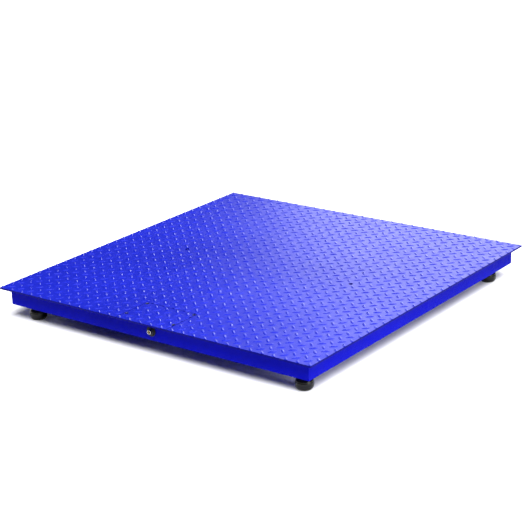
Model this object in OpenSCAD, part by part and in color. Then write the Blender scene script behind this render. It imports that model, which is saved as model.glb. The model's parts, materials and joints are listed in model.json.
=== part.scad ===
// Pallet scale: a low square weighing platform on four load cells and swivel feet.
// Millimetres, +Z up. The origin is on the floor under the centre of the deck,
// and the connector side faces -Y.

/* [Deck] */
// Length of each side of the square deck
deck_side = 1219.2; // [1150:0.1:1524]
// Thickness of the deck plate
deck_t = 6; // [5:0.5:8]
// How far the deck reaches out past the aprons
deck_overhang = 25; // [20:1:30]
// Width of the access cover
cover_w = 200; // [166:1:240]
// Length of the access cover, in from the deck's front edge
cover_l = 146; // [140:1:176]
// Distance between the two lifting holes
lifting_spacing = 666; // [660:1:800]

/* [Frame] */
// Height of the aprons
apron_h = 54; // [45:1:65]
// Thickness of the folded frame sheet
sheet_t = 5; // [4:0.5:6]
// Width of the apron flanges
flange_w = 30; // [25:1:36]
// Width of each rib
rib_w = 50; // [42:1:60]

/* [Load cells] */
// Gap from the floor to the underside of the load cells
cell_clearance = 64; // [63:1:90]
// Side of the load cell's square bar
cell_side = 32; // [26:0.1:39]
// Length of the load cell
cell_l = 130; // [128:1:156]
// Radius of the load cell's bolts
bolt_r = 6; // [5:0.1:7.2]
// Distance from the deck's edges to the centre of each foot
foot_inset = 82; // [68:0.1:100]

/* [Feet] */
// Largest radius of the rubber pad
pad_r = 28; // [26:0.5:34]
// Height of the rubber pad
pad_h = 36; // [30:0.5:38]
// Radius of the ball on the stem
ball_r = 8; // [6.5:0.1:10]
// Height of the ball's centre above the floor
ball_z = 22; // [18:0.1:27]
// Thread radius of the foot's stem
stem_r = 6; // [5:0.5:7.5]

/* [Connector] */
// Distance of the connector from the middle of the front apron
connector_x = 7; // [0:1:20]
// Thread radius of the connector's barrel
barrel_r = 8; // [6.5:0.1:10]

/* [Hidden] */
$fn = 48;

// Close clearance of a piece in its bore, and loose clearance of a screw in a plain hole
fit = 0.05;
loose = 0.4;
// Extra length of a cutting tool, or of a piece where it runs on into its neighbour
cut = 1;
// Corner radius of a nut or bolt head, as a multiple of its thread's radius
hex_ratio = 1.8;

// Feet: walls round the ball, rim heights above its centre, the pad's bulge, and the stem above it
seat_wall = 2.95;
cup_wall = 2.95;
seat_r = ball_r + fit + seat_wall;
cup_r = seat_r + fit + cup_wall;
seat_rim = 5;
cup_rim = 4;
pad_rim = 3;
mouth_step = 3;
mouth_r = cup_r + mouth_step;
pad_sag = 0.22;
pad_steps = 16;
neck_r = 4.6;
collar_gap = 4.5;
collar_z = pad_h + collar_gap;
collar_h = 8;
lock_nut_h = 10;
thread_in = 22;

// The four corners, as signs of x and y
front_left = [-1, -1];
front_right = [1, -1];
rear_left = [-1, 1];
rear_right = [1, 1];
CORNERS = [front_left, front_right, rear_left, rear_right];

// Heights, from the floor up through the load cell to the deck
mount_t = 10;
spacer_t = 4;
spacer_past = 14;
cell_z = cell_clearance;
cell_top = cell_z + cell_side;
plate_z = cell_top + spacer_t + mount_t;
deck_z = plate_z + deck_t;
apron_z = plate_z - apron_h;

// Plan sizes, as distances from the centre
half = deck_side / 2;
apron_out = half - deck_overhang;
apron_in = apron_out - sheet_t;
flange_in = apron_out - flange_w;
foot_at = half - foot_inset;

// Load cell: hole positions along the bar, from the foot's hole towards the fixed end
load_end = 15.7;
fixed_end = 12.7;
bolt_spacing = 25.4;
cell_end = cell_l - load_end;
hole_2 = cell_end - fixed_end;
hole_1 = hole_2 - bolt_spacing;
gauge_at = hole_1 / 2;
bolt_hole_gap = 0.75;
bolt_hole_r = bolt_r + bolt_hole_gap;
bolt_head_h = 7.5;
bolt_tip_gap = 2;
washer_t = 1.5;
washer_band = 6;
washer_r = bolt_r + washer_band;
pocket_r = 11;
pocket_d = 11;
pocket_cover_t = 1.2;
cell_mid_z = cell_z + cell_side / 2;
gland_r = 5.5;
gland_l = 14;
gland_hex_r = 7.5;
gland_hex_l = 4;
gland_thread_r = 4;
gland_thread_l = 5;

// Ribs stand clear of the mounting plates outside and of the cover's ledges inside
mount_past = 18;
plate_end = cell_end + mount_past;
rib_setback = 100;
rib_t = 4;
rib_h = 44;
rib_z = plate_z - rib_h;
outer_rib_x = foot_at - plate_end - rib_setback - rib_w / 2;
ledge_out = 20;
ledge_in = 15;
ledge_h = 6;
cover_x = -12;
rib_gap = 9.5;
inner_rib_x = cover_w / 2 - cover_x + ledge_out + rib_gap + rib_w / 2;
RIBS = [-outer_rib_x, -inner_rib_x, inner_rib_x, outer_rib_x];
cross_t = 6;
cross_y = 260;

// Access cover: its left, right and back edges, the gap around it and its screws
cover_left = cover_x - cover_w / 2;
cover_right = cover_x + cover_w / 2;
cover_back = -half + cover_l;
cover_gap = 1;
gasket_t = 1.5;
screw_r = 3;
screw_head_r = 6.2;
screw_head_h = 3.3;
screw_l = 12;
screw_in = 7.5;
screw_sunk = 0.3;
countersink_gap = 0.6;
socket_key_r = 2.3;
socket_key_d = 2;
SCREW_SPOTS = [
    for (x = [cover_left + screw_in, cover_right - screw_in])
        for (y = [cover_back - screw_in, -(apron_in + flange_in) / 2]) [x, y]
];

// Lifting points: a tapped boss outside each outer rib, under a clearance hole in the deck
lifting_x = lifting_spacing / 2;
lifting_thread_r = 5.1;
lifting_hole_r = 7;
boss_r = 15;
boss_h = 20;

// Junction box, behind the front apron and under the access cover
box_wall = 2.5;
box_side_gap = 12;
box_back_gap = 5;
box_front_gap = 62;
box_l = cover_w - 2 * (ledge_in + box_side_gap);
box_w = cover_l - ledge_in - box_back_gap - box_front_gap;
box_h = 34;
lid_t = 3;
lid_gap = 0.8;
box_drop = 12;
box_top = plate_z - box_drop;
box_z = box_top - box_h;
box_y = -half + box_front_gap + box_w / 2;
box_left = cover_x - box_l / 2;
box_right = cover_x + box_l / 2;
box_mid_z = box_z + box_h / 2;
box_post_r = 3.5;
box_post_in = 5;
lid_screw_r = 1.5;
lid_screw_l = 12;
lid_head_r = 3;
lid_head_h = 1.8;
lid_key_r = 1.3;
box_gland_r = 6.7;
box_gland_body_r = 5.4;
box_gland_thread_r = 4.6;
box_gland_l = 16;
box_gland_hex_l = 4;
box_gland_nut_l = 3;
gland_row = box_w / 2 - box_post_in - box_post_r - box_gland_r;
LEFT_GLANDS = [box_y - gland_row, box_y + gland_row];
RIGHT_GLANDS = [box_y - gland_row, box_y, box_y + gland_row];
board_gap = 8;
board_l = box_l - 2 * (box_wall + board_gap);
board_w = box_w - 2 * (box_wall + board_gap);
board_t = 1.6;
board_lift = 5;
board_z = box_z + box_wall + board_lift;
board_hole_r = 1.6;
terminal_l = 20;
terminal_w = 8;
terminal_h = 8;
terminal_poles = 4;
terminal_pitch = 26;
terminal_screw_r = 1.6;
terminal_screw_d = 2;
trimmer_pitch = 25;
trimmer_w = 6;
trimmer_h = 5;
trimmer_slot_r = 1.5;
trimmer_slot_d = 1;
bracket_t = 3;
bracket_w = 38;
bracket_screw_r = 2;
bracket_screw_l = 8;
bracket_head_r = 3.5;
bracket_head_h = 2;
BOX_CORNERS = [
    for (c = CORNERS) [cover_x + c[0] * (box_l / 2 - box_post_in), box_y + c[1] * (box_w / 2 - box_post_in)]
];
bracket_screw_in = 29;
BRACKET_SPOTS = [for (x = [box_left + bracket_screw_in, box_right - bracket_screw_in]) [x, box_y]];

// Connector in the front apron
connector_drop = 24;
connector_z = plate_z - connector_drop;
gasket_r = 17;
connector_gasket_t = 2.5;
barrel_out = 12.5;
mouth_y = -apron_out - barrel_out;
barrel_in = 17;
barrel_flange_r = 11.5;
barrel_flange_t = 2.5;
socket_wall = 1.6;
socket_r = barrel_r - socket_wall;
socket_d = 9;
back_wall = 2.6;
wire_hole_r = 3;
insert_in = 5;
pin_count = 5;
pin_r = 0.8;
pin_l = 7;
pin_in = 1.5;
pin_ring_r = 3.5;
nut_t = 3;

// Leads: a round cable, held on the outer ribs and passed through holes in the ribs
lead_r = 2.5;
lead_sides = 10;
lead_bend_r = 24;
bend_steps = 6;
lead_hole_r = 10;
lead_run_gap = 8;
lead_run_x = outer_rib_x + rib_w / 2 + lead_run_gap;
lead_z = cell_mid_z;
rear_lead_step = 15;
rear_lead_y = box_y + rear_lead_step;
// How far a lead runs into a gland and past it, and how far it stays straight outside
cell_lead_in = gland_l + 2;
box_lead_in = box_gland_l + box_wall + box_gland_nut_l + 2;
lead_straight = 20;
rib_past = 6;
notch_w = 16;
clip_l = 8;
clip_wall = 3;
clip_end = 130;
clip_mid = 100;
CLIP_SPOTS = [clip_end - foot_at, -clip_mid, clip_mid, foot_at - clip_end];

// Points round an arc in plan, from one angle to another
function bend(x, y, z, r, from, to) = [
    for (k = [0:bend_steps]) let (a = from + (to - from) * k / bend_steps) [x + r * cos(a), y + r * sin(a), z]
];

// Routes on the right side: a front lead runs straight in, a rear one along the outer rib and in
gland_tip = foot_at - cell_end - gland_l;
lead_turn_x = inner_rib_x - rib_w / 2 - rib_past;
function box_end(x, y) = [[x + lead_straight, y, box_mid_z], [x - box_lead_in, y, box_mid_z]];
function front_route(gland_x, gland_y) = concat(
    [[gland_tip + cell_lead_in, -foot_at, lead_z], [lead_turn_x, -foot_at, lead_z]],
    box_end(gland_x, gland_y)
);
function rear_route(gland_x, gland_y) = concat(
    [[gland_tip + cell_lead_in, foot_at, lead_z]],
    bend(lead_run_x + lead_bend_r, foot_at - lead_bend_r, lead_z, lead_bend_r, 90, 180),
    bend(lead_run_x - lead_bend_r, rear_lead_y + lead_bend_r, lead_z, lead_bend_r, 0, -90),
    [[lead_turn_x, rear_lead_y, lead_z]],
    box_end(gland_x, gland_y)
);

// The output lead leaves the connector's back, passes the box's front and turns back into its gland
output_bend_r = 8;
output_in = 3;
output_y = -apron_in + barrel_in + output_bend_r;
output_turn_x = box_right + box_gland_l + output_bend_r;
output_gland_y = RIGHT_GLANDS[0];
output_route = concat(
    [[connector_x, -apron_in + barrel_in - output_in, connector_z]],
    bend(connector_x + output_bend_r, output_y - output_bend_r, connector_z, output_bend_r, 180, 90),
    bend(output_turn_x, (output_y + output_gland_y) / 2, box_mid_z, (output_gland_y - output_y) / 2, -90, 90),
    [[box_right + box_gland_l - box_lead_in, output_gland_y, box_mid_z]]
);

// A lead's rings stand square to its route; the route never runs upright
function unit(v) = v / norm(v);
function tangent(p, i) = unit(p[min(i + 1, len(p) - 1)] - p[max(i - 1, 0)]);
function ring(centre, along, r) = let (side = unit(cross([0, 0, 1], along)), up = cross(along, side)) [
    for (k = [0:lead_sides - 1]) let (a = 360 * k / lead_sides) centre + r * (cos(a) * side + sin(a) * up)
];

module swept_lead(p) {
    n = len(p);
    points = [for (i = [0:n - 1]) each ring(p[i], tangent(p, i), lead_r)];
    side_faces = [
        for (i = [0:n - 2]) for (k = [0:lead_sides - 1])
            let (a = i * lead_sides + k, b = i * lead_sides + (k + 1) % lead_sides)
                each [[a, a + lead_sides, b], [b, a + lead_sides, b + lead_sides]]
    ];
    start_cap = [for (k = [0:lead_sides - 1]) k];
    end_cap = [for (k = [lead_sides - 1:-1:0]) (n - 1) * lead_sides + k];
    polyhedron(points, concat(side_faces, [start_cap, end_cap]), convexity = 10);
}

// Moves its children to a corner and turns the bar's fixed end towards the middle
module at_corner(corner) {
    translate([corner[0] * foot_at, corner[1] * foot_at, 0])
        mirror([corner[0] > 0 ? 0 : 1, 0, 0])
            children();
}

module box_from(low, high) {
    translate(low) cube(high - low);
}

module hole_z(x, y, z, r, h) {
    translate([x, y, z - cut]) cylinder(r = r, h = h + 2 * cut);
}

module along_x(x, y, z, r, l) {
    translate([x, y, z]) rotate([0, 90, 0]) cylinder(r = r, h = l);
}

module along_y(x, y, z, r, l) {
    translate([x, y, z]) rotate([-90, 0, 0]) cylinder(r = r, h = l);
}

// Deck

module deck_plate() {
    color("royalblue") difference() {
        box_from([-half, -half, plate_z], [half, half, deck_z]);
        box_from([cover_left, -half - cut, plate_z - cut], [cover_right, cover_back, deck_z + cut]);
        for (s = [-1, 1]) hole_z(s * lifting_x, 0, plate_z, lifting_hole_r, deck_t);
    }
}

module access_cover() {
    color("royalblue") difference() {
        box_from([cover_left + cover_gap, -half, plate_z],
                 [cover_right - cover_gap, cover_back - cover_gap, deck_z]);
        for (s = SCREW_SPOTS) {
            hole_z(s[0], s[1], plate_z, screw_r + loose, deck_t);
            translate([s[0], s[1], deck_z - screw_head_h - countersink_gap])
                cylinder(r1 = screw_r + loose, r2 = screw_head_r + 2 * countersink_gap,
                         h = screw_head_h + 2 * countersink_gap);
        }
    }
}

module cover_screws() {
    color("silver") for (s = SCREW_SPOTS) translate([s[0], s[1], deck_z - screw_sunk]) difference() {
        union() {
            translate([0, 0, -screw_l]) cylinder(r = screw_r, h = screw_l - cut);
            translate([0, 0, -screw_head_h]) cylinder(r1 = screw_r, r2 = screw_head_r, h = screw_head_h);
        }
        translate([0, 0, -socket_key_d]) cylinder(r = socket_key_r, h = socket_key_d + cut, $fn = 6);
    }
}

module cover_gasket() {
    color("dimgray") difference() {
        box_from([cover_left, -flange_in, plate_z - gasket_t], [cover_right, cover_back, plate_z]);
        box_from([cover_left + ledge_in, -flange_in - cut, plate_z - gasket_t - cut],
                 [cover_right - ledge_in, cover_back - ledge_in, plate_z + cut]);
        for (s = SCREW_SPOTS) hole_z(s[0], s[1], plate_z - gasket_t, screw_r + loose, gasket_t);
    }
}

module cover_ledges() {
    z = plate_z - ledge_h;
    color("mediumblue") difference() {
        union() {
            box_from([cover_left - ledge_out, -flange_in, z],
                     [cover_left + ledge_in, cover_back + ledge_out, plate_z]);
            box_from([cover_right - ledge_in, -flange_in, z],
                     [cover_right + ledge_out, cover_back + ledge_out, plate_z]);
            box_from([cover_left, cover_back - ledge_in, z], [cover_right, cover_back + ledge_out, plate_z]);
        }
        box_from([cover_left, -half, plate_z - gasket_t], [cover_right, cover_back, plate_z + cut]);
        for (s = SCREW_SPOTS) hole_z(s[0], s[1], z, screw_r + fit, ledge_h);
    }
}

// Frame

// A folded channel along X with its web towards -Y; the flanges stop short by cope at each end
module channel(length, cope) {
    box_from([-length / 2, -apron_out, apron_z], [length / 2, -apron_in, plate_z]);
    for (z = [apron_z, plate_z - sheet_t])
        box_from([-length / 2 + cope, -apron_in, z], [length / 2 - cope, -flange_in, z + sheet_t]);
}

module front_apron() {
    color("mediumblue") difference() {
        channel(2 * apron_out, sheet_t);
        along_y(connector_x, -apron_out - cut, connector_z, barrel_r + loose, sheet_t + 2 * cut);
        for (s = SCREW_SPOTS) hole_z(s[0], s[1], plate_z - sheet_t, screw_r + fit, sheet_t);
    }
}

module rear_apron() {
    color("mediumblue") rotate(180) channel(2 * apron_out, sheet_t);
}

module side_apron(turn) {
    color("mediumblue") rotate(turn) channel(2 * apron_in, flange_w - sheet_t);
}

module deck_ribs() {
    color("mediumblue") for (x = RIBS) difference() {
        box_from([x - rib_w / 2, -flange_in, rib_z], [x + rib_w / 2, flange_in, plate_z]);
        box_from([x - rib_w / 2 + rib_t, -flange_in - cut, rib_z + rib_t],
                 [x + rib_w / 2 - rib_t, flange_in + cut, plate_z + cut]);
        for (y = [-foot_at, rear_lead_y]) along_x(x - rib_w, y, lead_z, lead_hole_r, 2 * rib_w);
    }
}

// Flat bars on edge, from apron to rib to rib to apron
module cross_members() {
    edges = concat([-flange_in], [for (x = RIBS) each [x - rib_w / 2, x + rib_w / 2]], [flange_in]);
    color("mediumblue") for (i = [0:2:len(edges) - 2]) for (y = [-cross_y, cross_y]) difference() {
        box_from([edges[i], y - cross_t / 2, rib_z], [edges[i + 1], y + cross_t / 2, plate_z]);
        for (s = [-1, 1])
            translate([s * lead_run_x, y, lead_z]) cube([notch_w, 2 * cross_t, notch_w], center = true);
    }
}

module lifting_bosses() {
    color("gray") for (s = [-1, 1]) difference() {
        translate([s * lifting_x, 0, plate_z - boss_h]) cylinder(r = boss_r, h = boss_h);
        hole_z(s * lifting_x, 0, plate_z - boss_h, lifting_thread_r, boss_h);
    }
}

// Load cells and what holds them

module cell_mount_plates() {
    edge = foot_inset - (half - flange_in);
    color("gray") for (c = CORNERS) at_corner(c) difference() {
        translate([-plate_end, c[1] > 0 ? -cell_side : -edge, plate_z - mount_t])
            cube([plate_end + edge, cell_side + edge, mount_t]);
        for (x = [hole_1, hole_2]) hole_z(-x, 0, plate_z - mount_t, bolt_r + fit, mount_t);
    }
}

module cell_spacers() {
    color("silver") for (c = CORNERS) at_corner(c) difference() {
        translate([-cell_end, -cell_side / 2, cell_top])
            cube([cell_end - hole_1 + spacer_past, cell_side, spacer_t]);
        for (x = [hole_1, hole_2]) hole_z(-x, 0, cell_top, bolt_hole_r, spacer_t);
    }
}

module load_cell(corner) {
    color("lightsteelblue") at_corner(corner) difference() {
        translate([-cell_end, -cell_side / 2, cell_z]) cube([cell_l, cell_side, cell_side]);
        hole_z(0, 0, cell_z, stem_r + fit, cell_side);
        for (x = [hole_1, hole_2]) hole_z(-x, 0, cell_z, bolt_hole_r, cell_side);
        for (s = [-1, 1]) translate([-gauge_at, s * (cell_side / 2 + cut), cell_mid_z])
            rotate([s * 90, 0, 0]) cylinder(r = pocket_r, h = pocket_d + cut);
        along_x(-cell_end - cut, 0, cell_mid_z, gland_thread_r + fit, gland_thread_l + fit + cut);
    }
}

module cell_pocket_covers() {
    color("silver") for (c = CORNERS) at_corner(c) for (s = [-1, 1])
        translate([-gauge_at, s * (cell_side / 2 - pocket_cover_t / 2), cell_mid_z])
            rotate([s * 90, 0, 0]) cylinder(r = pocket_r - fit, h = pocket_cover_t);
}

module cell_bolts() {
    shank = washer_t + cell_side + spacer_t + mount_t - bolt_tip_gap;
    color("darkgray") for (c = CORNERS) at_corner(c) for (x = [hole_1, hole_2])
        translate([-x, 0, cell_z - washer_t]) {
            translate([0, 0, -bolt_head_h]) cylinder(r = bolt_r * hex_ratio, h = bolt_head_h, $fn = 6);
            translate([0, 0, -cut]) cylinder(r = bolt_r, h = shank + cut);
        }
}

module cell_washers() {
    color("silver") for (c = CORNERS) at_corner(c) for (x = [hole_1, hole_2]) difference() {
        translate([-x, 0, cell_z - washer_t]) cylinder(r = washer_r, h = washer_t);
        hole_z(-x, 0, cell_z - washer_t, bolt_r + loose, washer_t);
    }
}

module cell_glands() {
    color("silver") for (c = CORNERS) at_corner(c) difference() {
        union() {
            along_x(-cell_end, 0, cell_mid_z, gland_thread_r, gland_thread_l);
            along_x(-cell_end - gland_l, 0, cell_mid_z, gland_r, gland_l);
            along_x(-cell_end - gland_hex_l, 0, cell_mid_z, gland_hex_r, gland_hex_l, $fn = 6);
        }
        along_x(-cell_end - gland_l - cut, 0, cell_mid_z, lead_r + fit, gland_l + gland_thread_l + 2 * cut);
    }
}

// Leads

module front_lead(gland_x, gland_y) {
    color("dimgray") swept_lead(front_route(gland_x, gland_y));
}

module rear_lead(gland_x, gland_y) {
    color("dimgray") swept_lead(rear_route(gland_x, gland_y));
}

module output_lead() {
    color("dimgray") swept_lead(output_route);
}

module cable_clips() {
    rib_face = outer_rib_x + rib_w / 2;
    reach = lead_r + clip_wall;
    depth = lead_run_x - rib_face + reach;
    color("black") for (s = [0, 1]) mirror([s, 0, 0]) for (y = CLIP_SPOTS) translate([0, y, 0]) difference() {
        translate([rib_face, -clip_l / 2, lead_z - reach]) cube([depth, clip_l, 2 * reach]);
        along_y(lead_run_x, -clip_l, lead_z, lead_r + fit, 2 * clip_l);
    }
}

// Junction box

module junction_box() {
    floor_z = box_z + box_wall;
    low = [box_left, box_y - box_w / 2];
    high = [box_right, box_y + box_w / 2];
    color("lightgray") difference() {
        union() {
            difference() {
                box_from([low[0], low[1], box_z], [high[0], high[1], box_top]);
                box_from([low[0] + box_wall, low[1] + box_wall, floor_z],
                         [high[0] - box_wall, high[1] - box_wall, box_top + cut]);
            }
            for (p = BOX_CORNERS)
                translate([p[0], p[1], box_z + cut]) cylinder(r = box_post_r, h = box_h - cut);
            for (p = BRACKET_SPOTS)
                translate([p[0], p[1], box_z + cut]) cylinder(r = box_post_r, h = board_z - box_z - cut);
        }
        for (p = BOX_CORNERS) hole_z(p[0], p[1], box_top - lid_screw_l, lid_screw_r + fit, lid_screw_l);
        for (p = BRACKET_SPOTS) translate([p[0], p[1], box_z - cut])
            cylinder(r = bracket_screw_r + fit, h = bracket_screw_l - bracket_t + 2 * cut);
        for (y = LEFT_GLANDS)
            along_x(box_left - cut, y, box_mid_z, box_gland_thread_r + fit, box_wall + 2 * cut);
        for (y = RIGHT_GLANDS)
            along_x(box_right - box_wall - cut, y, box_mid_z, box_gland_thread_r + fit, box_wall + 2 * cut);
    }
}

module box_outline(z, h, inset) {
    box_from([box_left + inset, box_y - box_w / 2 + inset, z],
             [box_right - inset, box_y + box_w / 2 - inset, z + h]);
}

module junction_box_gasket() {
    color("black") difference() {
        box_outline(box_top, lid_gap, 0);
        translate([0, 0, -cut]) box_outline(box_top, lid_gap + 2 * cut, box_wall);
    }
}

module junction_box_lid() {
    color("lightgray") difference() {
        box_outline(box_top + lid_gap, lid_t, 0);
        for (p = BOX_CORNERS) hole_z(p[0], p[1], box_top + lid_gap, lid_screw_r + loose, lid_t);
    }
}

module lid_screws() {
    color("silver") for (p = BOX_CORNERS) translate([p[0], p[1], box_top + lid_gap + lid_t]) difference() {
        union() {
            cylinder(r = lid_head_r, h = lid_head_h);
            translate([0, 0, -lid_screw_l]) cylinder(r = lid_screw_r, h = lid_screw_l + lid_head_h / 2);
        }
        translate([0, 0, lid_head_h / 2]) cylinder(r = lid_key_r, h = lid_head_h, $fn = 6);
    }
}

module box_glands() {
    left_spots = [for (y = LEFT_GLANDS) [box_left, y, 1]];
    right_spots = [for (y = RIGHT_GLANDS) [box_right, y, 0]];
    color("black") for (g = concat(left_spots, right_spots))
        translate([g[0], g[1], box_mid_z]) mirror([g[2], 0, 0]) rotate([0, 90, 0]) box_gland();
}

// A gland pointing up from the wall it is screwed into, with its nut inside the box
module box_gland() {
    inner_z = -box_wall - box_gland_nut_l;
    difference() {
        union() {
            cylinder(r = box_gland_r, h = box_gland_hex_l, $fn = 6);
            cylinder(r = box_gland_body_r, h = box_gland_l);
            translate([0, 0, inner_z]) cylinder(r = box_gland_thread_r, h = cut - inner_z);
            translate([0, 0, inner_z]) cylinder(r = box_gland_r, h = box_gland_nut_l, $fn = 6);
        }
        hole_z(0, 0, inner_z, lead_r + fit, box_gland_l - inner_z);
    }
}

module summing_board() {
    color("seagreen") difference() {
        box_from([cover_x - board_l / 2, box_y - board_w / 2, board_z],
                 [cover_x + board_l / 2, box_y + board_w / 2, board_z + board_t]);
        for (p = BRACKET_SPOTS) hole_z(p[0], p[1], board_z, board_hole_r, board_t);
    }
}

// Four cell terminals along the back of the board and one output terminal along the front
module terminal_blocks() {
    row = board_w / 2 - terminal_w;
    spots = concat([for (i = [-1.5:1.5]) [i * terminal_pitch, row]], [[0, -row - terminal_w]]);
    color("seagreen") for (s = spots)
        translate([cover_x + s[0] - terminal_l / 2, box_y + s[1], board_z + board_t]) difference() {
            cube([terminal_l, terminal_w, terminal_h]);
            for (k = [0.5:terminal_poles - 0.5])
                translate([terminal_l * k / terminal_poles, terminal_w / 2, terminal_h - terminal_screw_d])
                    cylinder(r = terminal_screw_r, h = terminal_screw_d + cut);
        }
}

module trim_pots() {
    color("royalblue") for (i = [-1.5:1.5])
        translate([cover_x + i * trimmer_pitch, box_y, board_z + board_t]) difference() {
            translate([-trimmer_w / 2, -trimmer_w / 2, 0]) cube([trimmer_w, trimmer_w, trimmer_h]);
            translate([0, 0, trimmer_h - trimmer_slot_d])
                cylinder(r = trimmer_slot_r, h = trimmer_slot_d + cut);
        }
}

// A strap under the box, turned up against the inner ribs
module box_bracket() {
    reach = inner_rib_x - rib_w / 2;
    y = box_y - bracket_w / 2;
    color("mediumblue") difference() {
        union() {
            translate([-reach, y, box_z - bracket_t]) cube([2 * reach, bracket_w, bracket_t]);
            for (s = [-1, 1]) translate([s > 0 ? reach - bracket_t : -reach, y, box_z - bracket_t])
                cube([bracket_t, bracket_w, rib_z + rib_t - box_z + bracket_t]);
        }
        for (p = BRACKET_SPOTS) hole_z(p[0], p[1], box_z - bracket_t, bracket_screw_r + loose, bracket_t);
    }
}

module bracket_screws() {
    color("silver") for (p = BRACKET_SPOTS) translate([p[0], p[1], box_z - bracket_t]) {
        translate([0, 0, -bracket_head_h]) cylinder(r = bracket_head_r, h = bracket_head_h);
        translate([0, 0, -cut]) cylinder(r = bracket_screw_r, h = bracket_screw_l + cut);
    }
}

// Connector: its shell points to -Y through the front apron

module connector_gasket() {
    color("black") difference() {
        along_y(connector_x, -apron_out - connector_gasket_t, connector_z, gasket_r, connector_gasket_t);
        along_y(connector_x, -apron_out - connector_gasket_t - cut, connector_z, barrel_r + fit,
                connector_gasket_t + 2 * cut);
    }
}

module connector_shell() {
    face = -apron_out - connector_gasket_t;
    color("silver") difference() {
        union() {
            along_y(connector_x, mouth_y, connector_z, barrel_r, barrel_out + sheet_t + barrel_in);
            along_y(connector_x, face - barrel_flange_t, connector_z, barrel_flange_r, barrel_flange_t);
        }
        along_y(connector_x, mouth_y - cut, connector_z, socket_r, socket_d + cut);
        along_y(connector_x, -apron_out, connector_z, barrel_r - back_wall, sheet_t + barrel_in + cut);
        along_y(connector_x, mouth_y, connector_z, wire_hole_r, barrel_out + cut);
    }
}

module connector_insert() {
    color("black") difference() {
        along_y(connector_x, mouth_y + insert_in, connector_z, socket_r - fit, socket_d - insert_in);
        for (k = [1:pin_count]) along_pin(k, mouth_y + insert_in - cut, socket_d, pin_r + fit);
    }
}

// A round rod along one pin's line
module along_pin(k, y, l, r) {
    a = 360 * k / pin_count;
    along_y(connector_x + pin_ring_r * cos(a), y, connector_z + pin_ring_r * sin(a), r, l);
}

module connector_pins() {
    color("gold") for (k = [1:pin_count]) along_pin(k, mouth_y + pin_in, pin_l, pin_r);
}

module connector_nut() {
    color("silver") difference() {
        translate([connector_x, -apron_in, connector_z]) rotate([-90, 0, 0])
            cylinder(r = barrel_r * hex_ratio, h = nut_t, $fn = 6);
        along_y(connector_x, -apron_in - cut, connector_z, barrel_r + fit, nut_t + 2 * cut);
    }
}

// Feet: a ball in a seat in a cup in a rubber pad, all round the ball's centre

module ball(r) {
    translate([0, 0, ball_z]) sphere(r = r);
}

// The part of its children below a height, measured from the ball's centre
module below(height) {
    reach = cup_r + cut;
    intersection() {
        children();
        translate([-reach, -reach, ball_z - reach]) cube([2 * reach, 2 * reach, reach + height]);
    }
}

module lock_nuts() {
    color("silver") for (c = CORNERS) at_corner(c) difference() {
        translate([0, 0, cell_z - lock_nut_h]) cylinder(r = stem_r * hex_ratio, h = lock_nut_h, $fn = 6);
        hole_z(0, 0, cell_z - lock_nut_h, stem_r + fit, lock_nut_h);
    }
}

module foot_stem(corner) {
    color("silver") at_corner(corner) {
        ball(ball_r);
        translate([0, 0, ball_z]) cylinder(r = neck_r, h = collar_z - ball_z + cut);
        translate([0, 0, collar_z]) cylinder(r = stem_r * hex_ratio, h = collar_h, $fn = 6);
        translate([0, 0, collar_z + cut]) cylinder(r = stem_r, h = cell_z + thread_in - collar_z - cut);
    }
}

module foot_seat(corner) {
    color("white") at_corner(corner) below(seat_rim) difference() {
        ball(seat_r);
        ball(ball_r + fit);
    }
}

module foot_cup(corner) {
    color("darkgray") at_corner(corner) below(cup_rim) difference() {
        ball(cup_r);
        ball(seat_r + fit);
    }
}

// A squat bulging puck: its radius is pad_r * (1 - pad_sag * u ^ 4), with u from -1 to 1 up its height
module foot_pad(corner) {
    side = [
        for (i = [0:pad_steps]) let (u = 2 * i / pad_steps - 1)
            [pad_r * (1 - pad_sag * u ^ 4), pad_h * (u + 1) / 2]
    ];
    color("black") at_corner(corner) difference() {
        rotate_extrude() polygon(concat([[0, 0]], side, [[0, pad_h]]));
        ball(cup_r + fit);
        translate([0, 0, ball_z + pad_rim])
            cylinder(r1 = cup_r, r2 = mouth_r, h = pad_h - ball_z - pad_rim + fit);
    }
}

deck_plate();
access_cover();
cover_screws();
cover_gasket();
cover_ledges();
front_apron();
rear_apron();
side_apron(-90);  // left_apron
side_apron(90);  // right_apron
deck_ribs();
cross_members();
lifting_bosses();
cell_mount_plates();
cell_spacers();
cell_bolts();
cell_washers();
cell_pocket_covers();
cell_glands();
lock_nuts();
load_cell(front_left);  // load_cell_front_left
load_cell(front_right);  // load_cell_front_right
load_cell(rear_left);  // load_cell_rear_left
load_cell(rear_right);  // load_cell_rear_right
mirror([1, 0, 0]) front_lead(box_gland_l - box_left, LEFT_GLANDS[0]);  // lead_front_left
front_lead(box_right + box_gland_l, RIGHT_GLANDS[1]);  // lead_front_right
mirror([1, 0, 0]) rear_lead(box_gland_l - box_left, LEFT_GLANDS[1]);  // lead_rear_left
rear_lead(box_right + box_gland_l, RIGHT_GLANDS[2]);  // lead_rear_right
output_lead();
cable_clips();
junction_box();
junction_box_gasket();
junction_box_lid();
lid_screws();
summing_board();
terminal_blocks();
trim_pots();
box_glands();
box_bracket();
bracket_screws();
connector_gasket();
connector_shell();
connector_insert();
connector_pins();
connector_nut();
foot_seat(front_left);  // foot_seat_front_left
foot_seat(front_right);  // foot_seat_front_right
foot_seat(rear_left);  // foot_seat_rear_left
foot_seat(rear_right);  // foot_seat_rear_right
foot_stem(front_left);  // foot_stem_front_left
foot_stem(front_right);  // foot_stem_front_right
foot_stem(rear_left);  // foot_stem_rear_left
foot_stem(rear_right);  // foot_stem_rear_right
foot_cup(front_left);  // foot_cup_front_left
foot_cup(front_right);  // foot_cup_front_right
foot_cup(rear_left);  // foot_cup_rear_left
foot_cup(rear_right);  // foot_cup_rear_right
foot_pad(front_left);  // foot_pad_front_left
foot_pad(front_right);  // foot_pad_front_right
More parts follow.
